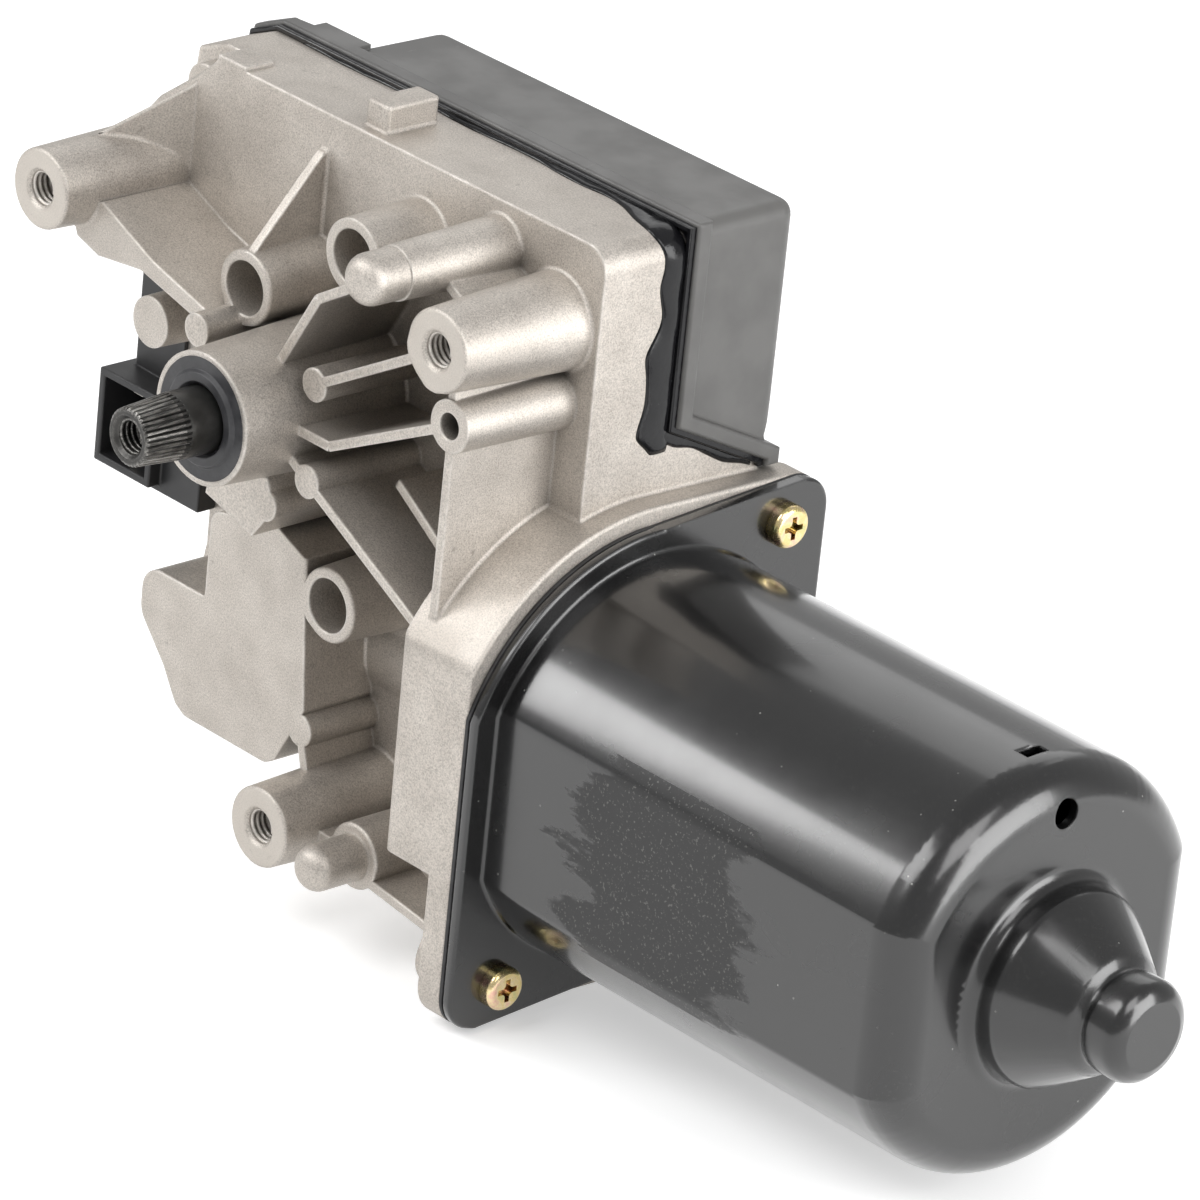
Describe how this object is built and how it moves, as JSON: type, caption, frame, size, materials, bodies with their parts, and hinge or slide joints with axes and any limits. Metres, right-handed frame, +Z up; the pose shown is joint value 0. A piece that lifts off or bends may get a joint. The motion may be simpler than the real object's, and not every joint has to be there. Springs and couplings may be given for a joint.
{
  "type": "wiper motor",
  "caption": "Worm-geared wiper motor: die-cast gear housing with bosses and ribs, black motor can with a domed end, rear lid, connector and splined output shaft.",
  "frame": {"origin": "where the output shaft's axis crosses the plane of the three threaded mounting boss faces", "axes": "+X along the motor towards the end of the can, -Y out along the output shaft, +Z up"},
  "size_m": [0.2773, 0.112, 0.1553],
  "materials": {
    "cast_alloy": "die-cast aluminium alloy, sand-blasted satin",
    "cover_plastic": "dark grey filled nylon, matte",
    "sealant": "black silicone sealant, glossy",
    "connector_plastic": "black nylon",
    "terminal_tin": "tin-plated brass",
    "board": "green solder mask",
    "relay_case": "black relay case",
    "capacitor_sleeve": "dark blue sleeve",
    "choke_coil": "enamelled copper on ferrite",
    "carrier_plastic": "natural glass-filled nylon",
    "spring_bronze": "phosphor bronze, bright",
    "seal_rubber": "black moulded seal, semi-matte",
    "sintered_bronze": "oil-filled sintered bronze",
    "black_steel": "black oxide steel",
    "bright_steel": "ground steel",
    "spring_steel": "blued spring steel",
    "wheel_plastic": "natural acetal",
    "lamination_steel": "electrical steel sheets",
    "winding_copper": "enamelled copper wire",
    "commutator_copper": "turned copper",
    "can_paint": "gloss black paint over drawn steel",
    "gasket": "black gasket sheet",
    "yellow_zinc": "steel, yellow iridescent zinc plating",
    "ferrite": "sintered ferrite",
    "plate_laminate": "phenolic laminate",
    "holder_brass": "folded brass",
    "carbon": "copper-graphite"
  },
  "bodies": {
    "motor_body": {"gear_housing": "cast_alloy", "electronics_cover": "cover_plastic", "cover_seal": "sealant", "cover_screws": "yellow_zinc", "connector_housing": "connector_plastic", "connector_terminals": "terminal_tin", "circuit_board": "board", "park_relay": "relay_case", "filter_capacitors": "capacitor_sleeve", "suppression_chokes": "choke_coil", "contact_carrier": "carrier_plastic", "park_fingers": "spring_bronze", "motor_leads": "terminal_tin", "shaft_seal": "seal_rubber", "shaft_bush_front": "sintered_bronze", "shaft_bush_rear": "sintered_bronze", "bearing_outer_ring": "bright_steel", "bearing_clip": "spring_steel", "worm_end_bush": "sintered_bronze", "thrust_button": "bright_steel", "rear_bush": "sintered_bronze", "bush_retainer": "spring_steel", "thrust_pad": "carrier_plastic", "motor_can": "can_paint", "can_gasket": "gasket", "can_screws": "yellow_zinc", "magnet_upper": "ferrite", "magnet_lower": "ferrite", "brush_plate": "plate_laminate", "brush_holder_common": "holder_brass", "brush_spring_common": "spring_steel", "brush_holder_low": "holder_brass", "brush_spring_low": "spring_steel", "brush_holder_high": "holder_brass", "brush_spring_high": "spring_steel"},
    "armature": {"armature_shaft": "bright_steel", "lamination_stack": "lamination_steel", "armature_windings": "winding_copper", "commutator": "commutator_copper", "bearing_inner_ring": "bright_steel"},
    "output_train": {"output_shaft": "black_steel", "retaining_ring": "spring_steel", "thrust_washer": "bright_steel", "wheel_hub": "bright_steel", "worm_wheel": "wheel_plastic", "park_ring": "commutator_copper"},
    "brush_body_common": {"brush_common": "carbon"},
    "brush_body_low": {"brush_low": "carbon"},
    "brush_body_high": {"brush_high": "carbon"}
  },
  "joints": [
    {"name": "armature_spin", "type": "hinge", "parent": "motor_body", "child": "armature", "pos_m": [0, 0.0432, -0.0518], "axis": [1, 0, 0], "continuous": true},
    {"name": "output_spin", "type": "hinge", "parent": "motor_body", "child": "output_train", "pos_m": [0, 0, 0], "axis": [0, 1, 0], "continuous": true},
    {"name": "brush_slide_common", "type": "slide", "parent": "motor_body", "child": "brush_body_common", "axis": [0, 0, 1], "range_m": [0, 0.003], "deforming": ["brush_spring_common"]},
    {"name": "brush_slide_low", "type": "slide", "parent": "motor_body", "child": "brush_body_low", "axis": [0, 0, -1], "range_m": [0, 0.003], "deforming": ["brush_spring_low"]},
    {"name": "brush_slide_high", "type": "slide", "parent": "motor_body", "child": "brush_body_high", "axis": [0, 1, 0], "range_m": [0, 0.003], "deforming": ["brush_spring_high"]}
  ],
  "couplings": [
    {"joint": "output_spin", "follows": "armature_spin", "ratio": 0.017241}
  ]
}
